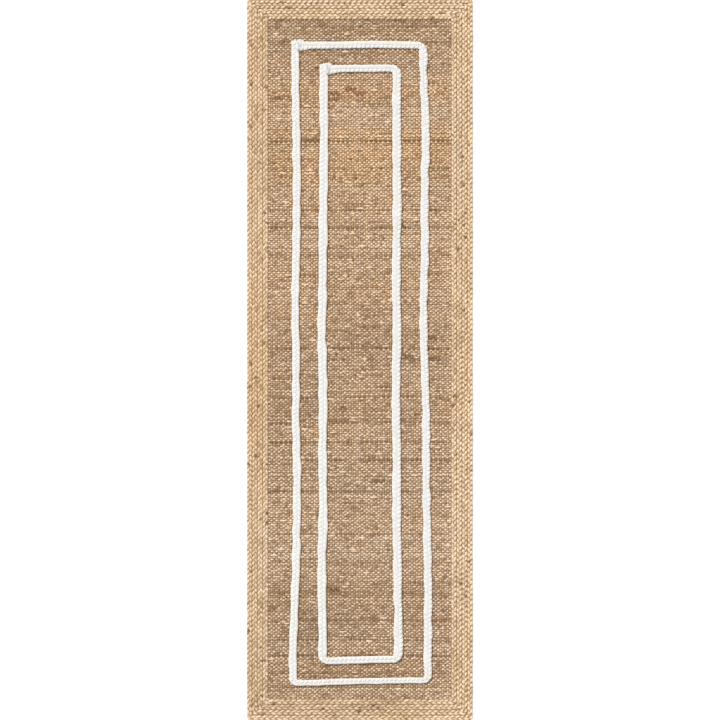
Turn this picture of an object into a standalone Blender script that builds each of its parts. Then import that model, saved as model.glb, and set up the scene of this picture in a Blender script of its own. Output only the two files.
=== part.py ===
"""A jute runner rug with a braided border, in metres, +Z up.

The rug lies flat. The origin is the middle of its underside, +X runs across it and +Y along it.
A plain-woven panel is framed by rows of flat three-strand braid, sewn edge to edge, and two lengths
of white braid are sewn on top of the panel as two rectangles, one inside the other. Every seam is a
lockstitch: a needle thread on the upper side and a bobbin thread on the underside.
"""

import math
from dataclasses import dataclass

import bmesh
import bpy
from mathutils import Vector

# The whole rug.
RUG_WIDTH = 0.762
RUG_LENGTH = 2.438

# The gap left between touching pieces.
CLEARANCE = 0.0003

# The border's rows of braid, which turn each corner nearly square.
BORDER_ROWS = 4
ROW_WIDTH = 0.0177
ROW_HEIGHT = 0.0095
EDGE_CHAMFER = 0.0022
TURN_RADIUS = 0.008
TURN_SEGMENTS = 4

# The woven panel.
PANEL_THICKNESS = 0.007

# The sewing thread.
THREAD_RADIUS = 0.0007

# The white braid: its section, its corners, and its two ends, which meet at the upper left corner.
LINE_HEIGHT = 0.0036
LINE_EDGE = 0.0011
LINE_TURN_RADIUS = 0.018
LINE_TURN_SEGMENTS = 5
LINE_START_OVERSHOOT = 0.015
LINE_START_INNER_HALF = 0.0045
LINE_START_SQUEEZE = 0.037
LINE_START_EASE = 0.007
LINE_FINISH_WIDTH = 0.037
LINE_FINISH_LENGTH = 0.024
LINE_FINISH_OUTER_EASE = 0.007
LINE_FINISH_INNER_EASE = 0.034
LINE_STATION_SPACING = 0.12

# The stitches that go over the finished end of each line, from edge to edge.
END_STITCH_THICKNESS = 0.0008
END_STITCH_MARGIN = 0.0015

# The needle thread stops this far short of each end of a line, and so does the bobbin thread.
SEAM_MARGIN = 0.004

SQRT_2 = math.sqrt(2)


@dataclass(frozen=True)
class LineRoute:
    """Where one white line runs: its inset from each edge of the panel, and how far it wanders.

    The braid is pulled to a different width along the sides, the top and the bottom.

    A wander is a list of sideways shifts, evenly spaced along its side. Those of the left and right
    sides run from top to bottom, and those of the top and bottom sides from left to right.
    """

    left: float
    right: float
    top: float
    bottom: float
    side_width: float
    top_width: float
    bottom_width: float
    left_wander: tuple
    right_wander: tuple
    top_wander: tuple
    bottom_wander: tuple


OUTER_ROUTE = LineRoute(
    left=0.0935,
    right=0.089,
    top=0.087,
    bottom=0.061,
    side_width=0.027,
    top_width=0.0245,
    bottom_width=0.0205,
    left_wander=(-0.002, 0.001, 0.003, 0.001, -0.002, 0.001, 0.000, 0.004, 0.002, -0.003, -0.010),
    right_wander=(-0.0055, 0.003, -0.001, 0.000, -0.005, -0.002, 0.004, 0.004, 0.008, 0.011, 0.010),
    top_wander=(-0.002, 0.000, 0.002, 0.000),
    bottom_wander=(-0.005, -0.001, 0.001, 0.003),
)
INNER_ROUTE = LineRoute(
    left=0.185,
    right=0.184,
    top=0.166,
    bottom=0.133,
    side_width=0.0295,
    top_width=0.0245,
    bottom_width=0.024,
    left_wander=(0.003, 0.003, 0.001, -0.001, -0.004, 0.001, -0.002, 0.001, -0.004, -0.002),
    right_wander=(-0.0005, 0.000, 0.001, -0.002, 0.000, -0.003, 0.000, -0.001, 0.003, 0.005),
    top_wander=(-0.001, 0.001),
    bottom_wander=(-0.003, 0.000, 0.002),
)


@dataclass(frozen=True)
class Finish:
    """A material's colour and roughness."""

    name: str
    color: tuple
    roughness: float


PANEL_JUTE = Finish("panel_jute", (0.48, 0.32, 0.19), 0.85)
BORDER_JUTE = Finish("border_jute", (0.66, 0.46, 0.29), 0.75)
WHITE_BRAID = Finish("white_braid", (0.88, 0.85, 0.80), 0.80)
JUTE_THREAD = Finish("jute_thread", (0.55, 0.38, 0.22), 0.70)
WHITE_THREAD = Finish("white_thread", (0.85, 0.83, 0.79), 0.65)


def clear_scene():
    """Remove every object that the scene starts with."""
    for obj in list(bpy.data.objects):
        bpy.data.objects.remove(obj, do_unlink=True)


def material_of(finish):
    """Return the finish's Principled material, made the first time it is asked for."""
    material = bpy.data.materials.get(finish.name)
    if material is None:
        material = bpy.data.materials.new(finish.name)
        material.use_nodes = True
        shader = material.node_tree.nodes["Principled BSDF"]
        shader.inputs["Base Color"].default_value = (*finish.color, 1.0)
        shader.inputs["Roughness"].default_value = finish.roughness
        shader.inputs["Metallic"].default_value = 0.0
    return material


def object_from(name, bm, finish):
    """Turn a bmesh into an object with outward normals and the finish's material."""
    bmesh.ops.recalc_face_normals(bm, faces=bm.faces)
    mesh = bpy.data.meshes.new(name)
    bm.to_mesh(mesh)
    bm.free()
    obj = bpy.data.objects.new(name, mesh)
    bpy.context.scene.collection.objects.link(obj)
    if finish is not None:
        mesh.materials.append(material_of(finish))
    return obj


# Closed outlines: the panel, the border's rows and their seams.


def rounded_rectangle(half_x, half_y):
    """Return a rectangle's outline with its corners turned at TURN_RADIUS, anticlockwise."""
    outline = []
    for corner, (side_x, side_y) in enumerate(((1, 1), (-1, 1), (-1, -1), (1, -1))):
        middle_x = side_x * (half_x - TURN_RADIUS)
        middle_y = side_y * (half_y - TURN_RADIUS)
        for step in range(TURN_SEGMENTS + 1):
            angle = math.radians(90) * (corner + step / TURN_SEGMENTS)
            outline.append(
                (middle_x + TURN_RADIUS * math.cos(angle), middle_y + TURN_RADIUS * math.sin(angle))
            )
    return outline


def skin(bm, loops):
    """Join each loop of corners to the next with a band of four-sided faces."""
    for first, second in zip(loops, loops[1:]):
        for index in range(len(first)):
            bm.faces.new((first[index - 1], first[index], second[index], second[index - 1]))


def add_loop(bm, offset, z):
    """Add the corners of the outline that lies offset outside the panel's edge, at height z."""
    outline = rounded_rectangle(panel_half_x() + offset, panel_half_y() + offset)
    return [bm.verts.new((x, y, z)) for x, y in outline]


def ring(name, section, finish):
    """Make a closed ring round the panel from its section, a list of (offset, z) corners."""
    bm = bmesh.new()
    loops = [add_loop(bm, offset, z) for offset, z in section]
    skin(bm, loops + loops[:1])
    return object_from(name, bm, finish)


def border_pitch():
    """Return the distance from one row of the border to the next."""
    return ROW_WIDTH + CLEARANCE


def panel_half_x():
    """Return half the panel's width, which is what the border leaves."""
    return RUG_WIDTH / 2 - BORDER_ROWS * border_pitch()


def panel_half_y():
    """Return half the panel's length, which is what the border leaves."""
    return RUG_LENGTH / 2 - BORDER_ROWS * border_pitch()


def row_start(row):
    """Return how far the inner edge of a border row lies outside the panel's edge."""
    return CLEARANCE + row * border_pitch()


def border_row(row):
    """Make one row of the border: a flat braid with softened edges, its ends spliced together."""
    inner = row_start(row)
    outer = inner + ROW_WIDTH
    section = [
        (inner, EDGE_CHAMFER),
        (inner, ROW_HEIGHT - EDGE_CHAMFER),
        (inner + EDGE_CHAMFER, ROW_HEIGHT),
        (outer - EDGE_CHAMFER, ROW_HEIGHT),
        (outer, ROW_HEIGHT - EDGE_CHAMFER),
        (outer, EDGE_CHAMFER),
        (outer - EDGE_CHAMFER, 0),
        (inner + EDGE_CHAMFER, 0),
    ]
    return ring(f"border_braid_row_{row + 1}", section, BORDER_JUTE)


def thread_section(offset, z):
    """Return a thread's diamond section about a centre."""
    return [
        (offset, z - THREAD_RADIUS),
        (offset + THREAD_RADIUS, z),
        (offset, z + THREAD_RADIUS),
        (offset - THREAD_RADIUS, z),
    ]


def border_seam(seam):
    """Make the needle and bobbin threads of the seam on the inner side of a border row."""
    middle = row_start(seam) - CLEARANCE / 2
    rise = THREAD_RADIUS + SQRT_2 * CLEARANCE - CLEARANCE / 2
    if seam == 0:
        # The panel is lower than the row beside it, so the thread rests in the corner between them.
        needle_offset = -THREAD_RADIUS
        needle_z = PANEL_THICKNESS - EDGE_CHAMFER + 2 * THREAD_RADIUS + SQRT_2 * CLEARANCE
    else:
        needle_offset = middle
        needle_z = ROW_HEIGHT - EDGE_CHAMFER + rise
    ring(f"border_seam_{seam + 1}_needle_thread", thread_section(needle_offset, needle_z), JUTE_THREAD)
    bobbin = thread_section(middle, EDGE_CHAMFER - rise)
    ring(f"border_seam_{seam + 1}_bobbin_thread", bobbin, JUTE_THREAD)


def woven_panel():
    """Make the plain-woven panel, a slab with softened edges."""
    bm = bmesh.new()
    levels = [
        (-EDGE_CHAMFER, 0),
        (0, EDGE_CHAMFER),
        (0, PANEL_THICKNESS - EDGE_CHAMFER),
        (-EDGE_CHAMFER, PANEL_THICKNESS),
    ]
    loops = [add_loop(bm, offset, z) for offset, z in levels]
    skin(bm, loops)
    bm.faces.new(loops[0])
    bm.faces.new(loops[-1])
    return object_from("woven_panel", bm, PANEL_JUTE)


# Open strips: the white lines and their seams.


@dataclass(frozen=True)
class Station:
    """A place on a line: its centre, its inward direction, and its width to either side."""

    centre: Vector
    inward: Vector
    outer_half: float
    inner_half: float


def side_points(start, end, wander, shift):
    """Return a side's points, moved sideways by its wander along the direction shift."""
    count = len(wander)
    return [
        start.lerp(end, (index + 0.5) / count) + shift * amount for index, amount in enumerate(wander)
    ]


def turn_points(corner, before, after):
    """Return the arc that turns a corner, between the directions before and after it."""
    middle = corner + (after - before) * LINE_TURN_RADIUS
    points = []
    for step in range(LINE_TURN_SEGMENTS + 1):
        angle = math.radians(90) * step / LINE_TURN_SEGMENTS
        arm = before * math.sin(angle) - after * math.cos(angle)
        points.append(middle + arm * LINE_TURN_RADIUS)
    return points


def densified(points):
    """Add points on a Catmull-Rom curve where neighbours lie further apart than the spacing."""
    result = [points[0]]
    for index in range(len(points) - 1):
        start, end = points[index], points[index + 1]
        before = points[max(index - 1, 0)]
        after = points[min(index + 2, len(points) - 1)]
        steps = math.ceil((end - start).length / LINE_STATION_SPACING)
        for step in range(1, steps + 1):
            t = step / steps
            result.append(
                0.5
                * (
                    2 * start
                    + (end - before) * t
                    + (2 * before - 5 * start + 4 * end - after) * t**2
                    + (3 * start - before - 3 * end + after) * t**3
                )
            )
    return result


def line_centre(route):
    """Return a line's centre points: down the left side, round, and back along the top."""
    right, up = Vector((1, 0)), Vector((0, 1))
    left_x = -panel_half_x() + route.left
    right_x = panel_half_x() - route.right
    top_y = panel_half_y() - route.top
    bottom_y = -panel_half_y() + route.bottom
    left_end = left_x + route.left_wander[-1]
    bottom_end = bottom_y + route.bottom_wander[-1]
    right_end = right_x + route.right_wander[0]
    start = Vector((left_x + route.left_wander[0], top_y + LINE_START_OVERSHOOT))
    finish_x = start.x + LINE_START_INNER_HALF + CLEARANCE
    finish = Vector((finish_x, top_y + route.top_wander[0]))
    points = [start]
    top_left, bottom_left = Vector((left_x, top_y)), Vector((left_x, bottom_y))
    top_right, bottom_right = Vector((right_x, top_y)), Vector((right_x, bottom_y))
    points += side_points(top_left, bottom_left, route.left_wander, right)
    points += turn_points(Vector((left_end, bottom_y + route.bottom_wander[0])), -up, right)
    points += side_points(bottom_left, bottom_right, route.bottom_wander, up)
    points += turn_points(Vector((right_x + route.right_wander[-1], bottom_end)), right, up)
    points += side_points(bottom_right, top_right, route.right_wander[::-1], right)
    points += turn_points(Vector((right_end, top_y + route.top_wander[-1])), up, -right)
    points += side_points(top_right, top_left, route.top_wander[::-1], up)[:-1]
    points += [finish + right * 2 * LINE_FINISH_LENGTH, finish + right * LINE_FINISH_LENGTH, finish]
    return densified(points)


def distances_along(points):
    """Return each point's distance from the first, along the line."""
    distances = [0.0]
    for a, b in zip(points, points[1:]):
        distances.append(distances[-1] + (b - a).length)
    return distances


def point_at(points, distances, distance):
    """Return the point that lies a distance along the line."""
    for index in range(1, len(points)):
        if distances[index] >= distance:
            share = (distance - distances[index - 1]) / (distances[index] - distances[index - 1])
            return points[index - 1].lerp(points[index], share)
    return points[-1]


def eased(distance, full, ease):
    """Return 1 up to the distance called full, then fall to 0 over the ease."""
    return min(max(1 - (distance - full) / ease, 0), 1)


def widths_at(route, centre, ahead, from_start, from_finish):
    """Return the line's width to its outer and its inner side at one place along it."""
    end_width = route.top_width if centre.y > 0 else route.bottom_width
    turn = ahead.normalized().x ** 2
    half = (route.side_width + (end_width - route.side_width) * turn) / 2
    flare = LINE_FINISH_WIDTH / 2 - half
    outer = half + flare * eased(from_finish, LINE_FINISH_LENGTH, LINE_FINISH_OUTER_EASE)
    inner = half + flare * eased(from_finish, LINE_FINISH_LENGTH, LINE_FINISH_INNER_EASE)
    squeeze = half - LINE_START_INNER_HALF
    return outer, inner - squeeze * eased(from_start, LINE_START_SQUEEZE, LINE_START_EASE)


def stations_between(route, points, begin, end):
    """Return the stations of a line from one distance along it to another."""
    distances = distances_along(points)
    total = distances[-1]
    marks = {LINE_START_SQUEEZE, LINE_START_SQUEEZE + LINE_START_EASE}
    for ease in (0, LINE_FINISH_OUTER_EASE, LINE_FINISH_INNER_EASE):
        marks.add(total - LINE_FINISH_LENGTH - ease)
    inside = sorted(d for d in marks | set(distances) if begin + CLEARANCE < d < end - CLEARANCE)
    chosen = [begin, *inside, end]
    centres = [point_at(points, distances, d) for d in chosen]
    stations = []
    for index, (centre, distance) in enumerate(zip(centres, chosen)):
        ahead = centres[min(index + 1, len(centres) - 1)] - centres[max(index - 1, 0)]
        inward = Vector((-ahead.y, ahead.x)).normalized()
        widths = widths_at(route, centre, ahead, distance, total - distance)
        stations.append(Station(centre, inward, *widths))
    return stations


def sweep(name, stations, section_at, finish):
    """Make a strip whose section follows the stations, closed with a face at each end."""
    bm = bmesh.new()
    loops = []
    for station in stations:
        flats = [(station.centre + station.inward * across, z) for across, z in section_at(station)]
        loops.append([bm.verts.new((flat.x, flat.y, z)) for flat, z in flats])
    skin(bm, loops)
    bm.faces.new(loops[0])
    bm.faces.new(loops[-1])
    return object_from(name, bm, finish)


def line_floor():
    """Return the height of the white braid's underside."""
    return PANEL_THICKNESS + CLEARANCE


def groove_depth():
    """Return the depth of the groove that the needle thread pulls into the braid."""
    return 2 * THREAD_RADIUS + SQRT_2 * CLEARANCE


def braid_section(station):
    """Return the white braid's section, with its groove along the middle."""
    low, high = line_floor(), line_floor() + LINE_HEIGHT
    outer, inner = -station.outer_half, station.inner_half
    groove = groove_depth()
    return [
        (outer + LINE_EDGE, low),
        (inner - LINE_EDGE, low),
        (inner, low + LINE_EDGE),
        (inner, high - LINE_EDGE),
        (inner - LINE_EDGE, high),
        (groove, high),
        (0, high - groove),
        (-groove, high),
        (outer + LINE_EDGE, high),
        (outer, high - LINE_EDGE),
        (outer, low + LINE_EDGE),
    ]


def needle_section(_station):
    """Return the section of the thread that lies in the braid's groove."""
    bottom = line_floor() + LINE_HEIGHT - groove_depth()
    return thread_section(0, bottom + THREAD_RADIUS + SQRT_2 * CLEARANCE)


def bobbin_section(_station):
    """Return the section of the thread that lies in the channel under the panel."""
    return thread_section(0, CLEARANCE + THREAD_RADIUS)


def channel_section(_station):
    """Return the section of the channel that a bobbin thread presses into the panel."""
    half = THREAD_RADIUS + CLEARANCE
    top = 2 * THREAD_RADIUS + 2 * CLEARANCE
    return [(-half, -half), (half, -half), (half, top), (-half, top)]


def end_stitch_section(station):
    """Return the section of the stitches over a finished end: down one side, across and down."""
    outer = -station.outer_half - CLEARANCE
    inner = station.inner_half + CLEARANCE
    low = PANEL_THICKNESS + CLEARANCE
    high = line_floor() + LINE_HEIGHT + CLEARANCE
    thick = END_STITCH_THICKNESS
    return [
        (outer - thick, low),
        (outer, low),
        (outer, high),
        (inner, high),
        (inner, low),
        (inner + thick, low),
        (inner + thick, high + thick),
        (outer - thick, high + thick),
    ]


def press_channel(panel, cutter):
    """Cut a bobbin thread's channel out of the panel's underside."""
    cutter.hide_render = True
    cutter.display_type = "WIRE"
    cut = panel.modifiers.new(cutter.name, "BOOLEAN")
    cut.operation = "DIFFERENCE"
    cut.solver = "EXACT"
    cut.object = cutter


def white_line(place, route, panel):
    """Make one white line: its braid, its two seam threads and the stitches over its end."""
    points = line_centre(route)
    total = distances_along(points)[-1]
    margin = SEAM_MARGIN - CLEARANCE
    whole = stations_between(route, points, 0, total)
    sewn = stations_between(route, points, SEAM_MARGIN, total - SEAM_MARGIN)
    pressed = stations_between(route, points, margin, total - margin)
    bound = stations_between(route, points, total - LINE_FINISH_LENGTH, total - END_STITCH_MARGIN)
    sweep(f"{place}_line_braid", whole, braid_section, WHITE_BRAID)
    sweep(f"{place}_line_needle_thread", sewn, needle_section, WHITE_THREAD)
    sweep(f"{place}_line_bobbin_thread", sewn, bobbin_section, WHITE_THREAD)
    sweep(f"{place}_line_end_stitches", bound, end_stitch_section, WHITE_THREAD)
    press_channel(panel, sweep(f"{place}_channel_cutter", pressed, channel_section, None))


def main():
    """Build the rug."""
    clear_scene()
    panel = woven_panel()
    for row in range(BORDER_ROWS):
        border_row(row)
        border_seam(row)
    white_line("outer", OUTER_ROUTE, panel)
    white_line("inner", INNER_ROUTE, panel)


main()
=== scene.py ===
"""Dress the runner rug: its woven yarns, braided strands and stitches, round the CAD frame.

The rug lies flat, with its origin under its middle, +X across it and +Y along it. Everything is in
metres. A panel of plain weave is framed by rows of three-strand braid, and two lengths of white
braid are sewn on top of it.
"""

import logging
import math
from dataclasses import dataclass
from enum import Enum
from typing import Sequence

import bmesh
import bpy
import numpy as np
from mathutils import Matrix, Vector


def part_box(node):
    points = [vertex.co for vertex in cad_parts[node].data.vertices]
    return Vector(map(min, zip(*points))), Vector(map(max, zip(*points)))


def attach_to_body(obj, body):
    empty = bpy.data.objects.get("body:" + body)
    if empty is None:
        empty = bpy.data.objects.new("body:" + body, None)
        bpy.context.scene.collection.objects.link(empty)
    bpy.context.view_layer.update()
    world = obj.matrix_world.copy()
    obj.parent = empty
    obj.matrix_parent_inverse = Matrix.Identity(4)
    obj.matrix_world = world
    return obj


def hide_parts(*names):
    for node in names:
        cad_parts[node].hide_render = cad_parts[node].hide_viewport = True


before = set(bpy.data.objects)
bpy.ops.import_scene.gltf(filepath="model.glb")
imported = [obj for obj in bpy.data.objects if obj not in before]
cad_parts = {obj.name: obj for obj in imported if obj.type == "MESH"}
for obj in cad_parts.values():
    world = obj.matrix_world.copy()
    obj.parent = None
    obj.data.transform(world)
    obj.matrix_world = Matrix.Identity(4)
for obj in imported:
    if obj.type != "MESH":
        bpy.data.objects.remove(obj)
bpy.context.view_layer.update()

LOG = logging.getLogger("runner_rug")
BODY = "root"

# The CAD node that every place on the rug is counted from.
PANEL = "woven_panel"
# How far apart the middles of two neighbouring border rows lie, and the gap that the CAD keeps
# between pieces that touch.
ROW_PITCH = 0.018
CLEARANCE = 0.0003

# The UV map that the yarn materials read, in metres along and round a yarn, and the map that gives
# each yarn a strip of its own on one square.
YARN_MAP = "Yarn"
STRIP_MAP = "OFBake"
# A yarn's lightness, which holds its own lighter and darker dye and also painted shade and
# highlights, and how golden it is.
TONE = "Tone"
GILT = "Gilt"
# How much faster green and blue fade than red where a warm yarn lies in its own shade.
GREEN_AND_BLUE_LEAN = (0.27, 0.64)
# How fine a yarn's fibres and plies are, along and round it, and how fine the blotches and the slow
# drift of colour are over the rug. A larger number is finer.
FIBRE_SCALE = (110.0, 2600.0, 1.0)
PLY_SCALE = (60.0, 700.0, 1.0)
BLOTCH_SCALE = (210.0, 210.0, 60.0)
DRIFT_SCALE = (4.0, 2.2, 1.0)
# Colour comes from the fibres first and relief from the plies first: the share of the first one.
FIRST_SHARE = 0.6
# How much a yarn's roughness varies.
ROUGHNESS_SPREAD = 0.3

Colour = tuple[float, float, float]


class Side(Enum):
    """The rug's two faces."""

    UPPER = 1
    UNDER = -1

    @property
    def thread(self) -> str:
        """Return the name of the thread that shows on this face."""
        return "needle" if self is Side.UPPER else "bobbin"


# Shared shapes.


@dataclass(frozen=True)
class Section:
    """A yarn's oval section.

    Attributes:
        width: Its width, across the rug's plane.
        height: Its height.
        sides: How many flat sides stand for its outline.
    """

    width: float
    height: float
    sides: int = 6

    def outline(self) -> bpy.types.Object:
        """Return the section as a closed flat curve."""
        curve = bpy.data.curves.new("section", "CURVE")
        curve.dimensions = "2D"
        spline = curve.splines.new("POLY")
        spline.points.add(self.sides - 1)
        spline.use_cyclic_u = True
        for index, point in enumerate(spline.points):
            angle = -2 * math.pi * (index + 0.5) / self.sides
            x, y = self.width / 2 * math.cos(angle), self.height / 2 * math.sin(angle)
            point.co = (x, y, 0, 1)
        made = bpy.data.objects.new("section", curve)
        bpy.context.scene.collection.objects.link(made)
        return made

    def girth(self) -> float:
        """Return the distance round the section."""
        return math.pi * (self.width + self.height) / 2


@dataclass(frozen=True)
class Waves:
    """A smooth random field, the sum of a few slow waves in random directions.

    Attributes:
        seed: Picks the directions and phases.
        wavelength: The middle one of the wavelengths.
        count: How many waves are added.
    """

    seed: int
    wavelength: float
    count: int = 7

    def at(self, x: np.ndarray, y: np.ndarray | float = 0.0) -> np.ndarray:
        """Return the field's values, mostly from -1 to 1.

        Args:
            x: Places across the rug, or distances along a yarn.
            y: Places along the rug.

        Returns:
            An array as large as the places.
        """
        random = np.random.default_rng(self.seed)
        total = np.zeros(np.broadcast(x, y).shape)
        for _ in range(self.count):
            angle, phase = random.uniform(0, 2 * math.pi, 2)
            turn = 2 * math.pi / (self.wavelength * random.uniform(0.6, 1.6))
            total += np.sin(turn * (math.cos(angle) * x + math.sin(angle) * y) + phase)
        return total / math.sqrt(self.count)

    def about_one(self, amount: float, x: np.ndarray, y: np.ndarray | float = 0.0) -> np.ndarray:
        """Return factors of about 1 that vary by an amount, at the places."""
        return 1 + amount * self.at(x, y)


def distances_along(points: np.ndarray) -> np.ndarray:
    """Return how far along a line of points each of them lies."""
    steps = np.linalg.norm(np.diff(points, axis=0), axis=1)
    return np.concatenate([[0.0], np.cumsum(steps)])


def points_along(points: np.ndarray, reached: np.ndarray, wanted: np.ndarray) -> np.ndarray:
    """Return the points at wanted distances along a line.

    Args:
        points: The line's own points, across and along the rug.
        reached: How far along the line each of them lies.
        wanted: The distances.

    Returns:
        One point for each distance.
    """
    return np.column_stack([np.interp(wanted, reached, points[:, axis]) for axis in (0, 1)])


def bare_tubes(name: str, curve: bpy.types.Curve, section: Section) -> bpy.types.Mesh:
    """Sweep a section along a curve's splines and return the mesh."""
    outline = section.outline()
    curve.dimensions = "3D"
    curve.twist_mode = "Z_UP"
    curve.bevel_mode = "OBJECT"
    curve.bevel_object = outline
    holder = bpy.data.objects.new(name, curve)
    bpy.context.scene.collection.objects.link(holder)
    graph = bpy.context.evaluated_depsgraph_get()
    mesh = bpy.data.meshes.new_from_object(holder.evaluated_get(graph))
    bpy.data.objects.remove(holder)
    bpy.data.objects.remove(outline)
    return mesh


def close_ends(mesh: bpy.types.Mesh) -> None:
    """Fill the open ends of a mesh's tubes."""
    bm = bmesh.new()
    bm.from_mesh(mesh)
    ends = [edge for edge in bm.edges if edge.is_boundary]
    bmesh.ops.holes_fill(bm, edges=ends, sides=0)
    bmesh.ops.recalc_face_normals(bm, faces=bm.faces)
    bm.to_mesh(mesh)
    bm.free()


def lay_out(mesh: bpy.types.Mesh, tubes: int, length: float, girth: float) -> None:
    """Give the mesh its two UV maps.

    On the map of strips each tube keeps a twentieth of its strip clear at either edge.

    Args:
        mesh: Tubes of equal length, with a map that runs from 0 to 1 along and round each.
        tubes: How many tubes there are.
        length: The length of one.
        girth: The distance round one.
    """
    along = mesh.uv_layers[0]
    along.name = YARN_MAP
    corners = len(mesh.loops)
    flat = np.empty(corners * 2, np.float32)
    along.uv.foreach_get("vector", flat)
    place = flat.reshape(-1, 2)
    vertex = np.empty(corners, np.int32)
    mesh.loops.foreach_get("vertex_index", vertex)
    tube = vertex // (len(mesh.vertices) // tubes)
    strips = np.column_stack([place[:, 0], (tube + 0.05 + 0.9 * place[:, 1]) / tubes])
    strip_map = mesh.uv_layers.new(name=STRIP_MAP)
    strip_map.uv.foreach_set("vector", strips.astype(np.float32).ravel())
    metres = np.column_stack([place[:, 0] * length, (tube + place[:, 1]) * girth])
    mesh.uv_layers[YARN_MAP].uv.foreach_set("vector", metres.astype(np.float32).ravel())
    mesh.uv_layers.active = mesh.uv_layers[YARN_MAP]
    mesh.uv_layers[YARN_MAP].active_render = True


def yarns(
    name: str,
    paths: Sequence[np.ndarray],
    thickness: Sequence[np.ndarray],
    section: Section,
    closed: bool = False,
) -> bpy.types.Object:
    """Make one piece from yarns that follow paths.

    Args:
        name: The piece's name.
        paths: For each yarn, its points, three numbers each. All have as many points.
        thickness: For each yarn, its thickness at each point, where 1 is the section's own.
        section: The section that they share.
        closed: Whether each yarn's end meets its start.

    Returns:
        The piece, at the origin.
    """
    curve = bpy.data.curves.new(name, "CURVE")
    for path, thick in zip(paths, thickness):
        spline = curve.splines.new("POLY")
        spline.points.add(len(path) - 1)
        spline.points.foreach_set("co", np.column_stack([path, np.ones(len(path))]).ravel())
        spline.points.foreach_set("radius", np.broadcast_to(thick, len(path)).astype(float))
        spline.use_cyclic_u = closed
    mesh = bare_tubes(name, curve, section)
    steps = np.linalg.norm(np.diff(paths[0], axis=0), axis=1)
    lay_out(mesh, len(paths), float(steps.sum()), section.girth())
    if not closed:
        close_ends(mesh)
    mesh.name = name
    mesh.shade_smooth()
    piece = bpy.data.objects.new(name, mesh)
    bpy.context.scene.collection.objects.link(piece)
    return piece


def paint(piece: bpy.types.Object, name: str, values: np.ndarray) -> None:
    """Store one value for each of a piece's vertices as an attribute."""
    layer = piece.data.attributes.new(name, "FLOAT", "POINT")
    layer.data.foreach_set("value", np.ascontiguousarray(values, np.float32).ravel())


def attach(piece: bpy.types.Object, material: bpy.types.Material, slot: str, *nodes: str) -> None:
    """Dress a piece, let it ride on the rug and hide the CAD nodes that it stands for.

    Args:
        piece: The finished piece.
        material: What it wears.
        slot: The record's material slot. It is not used.
        nodes: The CAD nodes that it replaces.
    """
    piece.data.materials.clear()
    piece.data.materials.append(material)
    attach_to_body(piece, BODY)
    if nodes:
        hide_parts(*nodes)
    LOG.info("%s: %d faces", piece.name, len(piece.data.polygons))


# Materials.


class Tree:
    """A node tree being built, with short ways to add and join its nodes."""

    def __init__(self, tree: bpy.types.NodeTree) -> None:
        """Keep the tree."""
        self.tree = tree

    def add(self, kind: str, **settings: object) -> bpy.types.Node:
        """Add a node of a kind, such as Math, with its settings."""
        node = self.tree.nodes.new(kind)
        for key, value in settings.items():
            setattr(node, key, value)
        return node

    def feed(self, socket: bpy.types.NodeSocket, source: object) -> None:
        """Give an input socket a value, or join it to an output socket."""
        if isinstance(source, bpy.types.NodeSocket):
            self.tree.links.new(source, socket)
        elif source is not None:
            socket.default_value = source

    def math(self, operation: str, a: object, b: object = None, c: object = None) -> object:
        """Return the result of a Math node."""
        node = self.add("ShaderNodeMath", operation=operation)
        for socket, source in zip(node.inputs, (a, b, c)):
            self.feed(socket, source)
        return node.outputs[0]

    def mix(self, share: object, a: object, b: object, blend: str = "MIX") -> object:
        """Return the colour between a and b, at a share from 0 to 1."""
        node = self.add("ShaderNodeMix", data_type="RGBA", blend_type=blend)
        for socket, source in zip((node.inputs[0], *node.inputs[6:8]), (share, a, b)):
            self.feed(socket, source)
        return node.outputs[2]

    def noise(self, place: object, scale: tuple, detail: float = 2.0, rough: float = 0.5) -> object:
        """Return a noise from 0 to 1, with a scale for each of its directions."""
        mapping = self.add("ShaderNodeMapping")
        self.feed(mapping.inputs["Vector"], place)
        mapping.inputs["Scale"].default_value = scale
        node = self.add("ShaderNodeTexNoise", noise_dimensions="3D")
        self.feed(node.inputs["Vector"], mapping.outputs[0])
        node.inputs["Scale"].default_value = 1.0
        node.inputs["Detail"].default_value = detail
        node.inputs["Roughness"].default_value = rough
        return node.outputs["Fac"]

    def about(self, value: object, amount: object) -> object:
        """Return a noise shifted to lie about 0 and scaled by an amount."""
        return self.math("MULTIPLY", self.math("SUBTRACT", value, 0.5), amount)

    def blend(self, first: object, second: object) -> object:
        """Return two noises added up, the first one with the larger share."""
        rest = self.math("MULTIPLY", second, 1 - FIRST_SHARE)
        return self.math("MULTIPLY_ADD", first, FIRST_SHARE, rest)


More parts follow.
